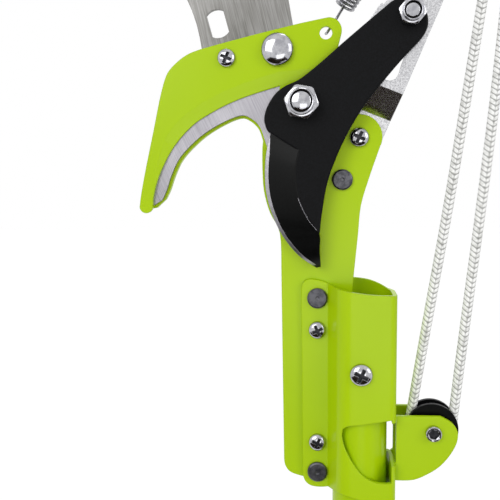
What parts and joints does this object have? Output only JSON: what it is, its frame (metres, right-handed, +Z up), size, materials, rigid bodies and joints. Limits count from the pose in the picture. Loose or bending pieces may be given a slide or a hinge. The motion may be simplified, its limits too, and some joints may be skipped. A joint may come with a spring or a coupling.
{
  "type": "tree pruner pole",
  "caption": "Rope-operated tree pruner on a pole, with a hook, a bypass cutting blade on a slotted lever arm, rope pulleys, a return spring and a curved pull saw.",
  "frame": {"origin": "middle of the grip's flat foot, on the pole's axis", "axes": "+Z up along the pole, +X towards the rope and its pulleys, -Y towards the side with the cutting blade"},
  "size_m": [0.2771, 0.0427, 1.368],
  "materials": {
    "green_paint": "smooth gloss powder coat",
    "ground_steel": "ground",
    "plated_steel": "bright zinc plate",
    "dark_steel": "dull rivet heads",
    "black_blade": "fine-textured coating",
    "black_plastic": "moulded",
    "black_rubber": "matt",
    "rope": "braided with grey flecks"
  },
  "bodies": {
    "frame": {"pole_tube": "green_paint", "hand_grip": "black_rubber", "pole_bracket": "green_paint", "body_plate": "green_paint", "hook_blade": "ground_steel", "hook_cover": "green_paint", "saw_blade": "ground_steel", "saw_bolt": "plated_steel", "saw_bolt_nut": "plated_steel", "saw_screw": "plated_steel", "saw_screw_nut": "plated_steel", "bracket_rivets": "dark_steel", "plate_rivet": "dark_steel", "bracket_screws": "plated_steel", "bracket_screw_nuts": "plated_steel", "pole_screw": "plated_steel", "pole_screw_nut": "plated_steel", "arm_screw": "plated_steel", "arm_screw_nut": "plated_steel", "pivot_bolt": "plated_steel", "pivot_nut": "plated_steel", "pulley_screw": "plated_steel", "pulley_nut": "plated_steel", "return_spring": "plated_steel", "rope_loop": "rope"},
    "arm": {"lever_arm": "plated_steel", "arm_axle": "plated_steel", "arm_axle_nut": "plated_steel", "rope_knot": "rope", "rope_crown": "rope"},
    "blade": {"cutting_blade": "black_blade", "lever_bolt": "plated_steel", "lever_nut": "plated_steel"},
    "lower_wheel": {"lower_pulley": "black_plastic"},
    "arm_wheel": {"arm_pulley": "black_plastic"},
    "strands": {"rope_left": "rope", "rope_right": "rope"},
    "pull_line": {"rope_fall": "rope", "pull_handle": "black_plastic", "handle_knot": "rope"}
  },
  "joints": [
    {"name": "arm_swing", "type": "hinge", "parent": "frame", "child": "arm", "pos_m": [-0.001, 0, 0.994], "axis": [0, 1, 0], "range_deg": [0, 76.9], "stiffness_Nm_per_rad": 0.8, "springref_deg": -57.3, "deforming": ["return_spring", "rope_crown"]},
    {"name": "blade_swing", "type": "hinge", "parent": "frame", "child": "blade", "pos_m": [-0.0265, 0, 1.009], "axis": [0, 1, 0], "range_deg": [0, 57]},
    {"name": "lower_pulley_spin", "type": "hinge", "parent": "frame", "child": "lower_wheel", "pos_m": [0.033, 0, 0.8595], "axis": [0, 1, 0], "continuous": true},
    {"name": "arm_pulley_spin", "type": "hinge", "parent": "arm", "child": "arm_wheel", "pos_m": [0.082, 0.0043, 1.162], "axis": [0, 1, 0], "continuous": true},
    {"name": "rope_swing", "type": "hinge", "parent": "frame", "child": "strands", "pos_m": [0.033, 0, 0.8595], "axis": [0, 1, 0], "range_deg": [0, 48], "deforming": ["rope_left", "rope_right"]},
    {"name": "rope_hang", "type": "hinge", "parent": "arm", "child": "pull_line", "pos_m": [0.082, 0.0043, 1.162], "axis": [0, 1, 0], "range_deg": [-77, 0]}
  ],
  "couplings": [
    {"joint": "blade_swing", "follows": "arm_swing", "ratio": 0.7407},
    {"joint": "lower_pulley_spin", "follows": "arm_swing", "ratio": -9.2},
    {"joint": "arm_pulley_spin", "follows": "arm_swing", "ratio": 19.5},
    {"joint": "rope_swing", "follows": "arm_swing", "ratio": 0.623},
    {"joint": "rope_hang", "follows": "arm_swing", "ratio": -1}
  ]
}
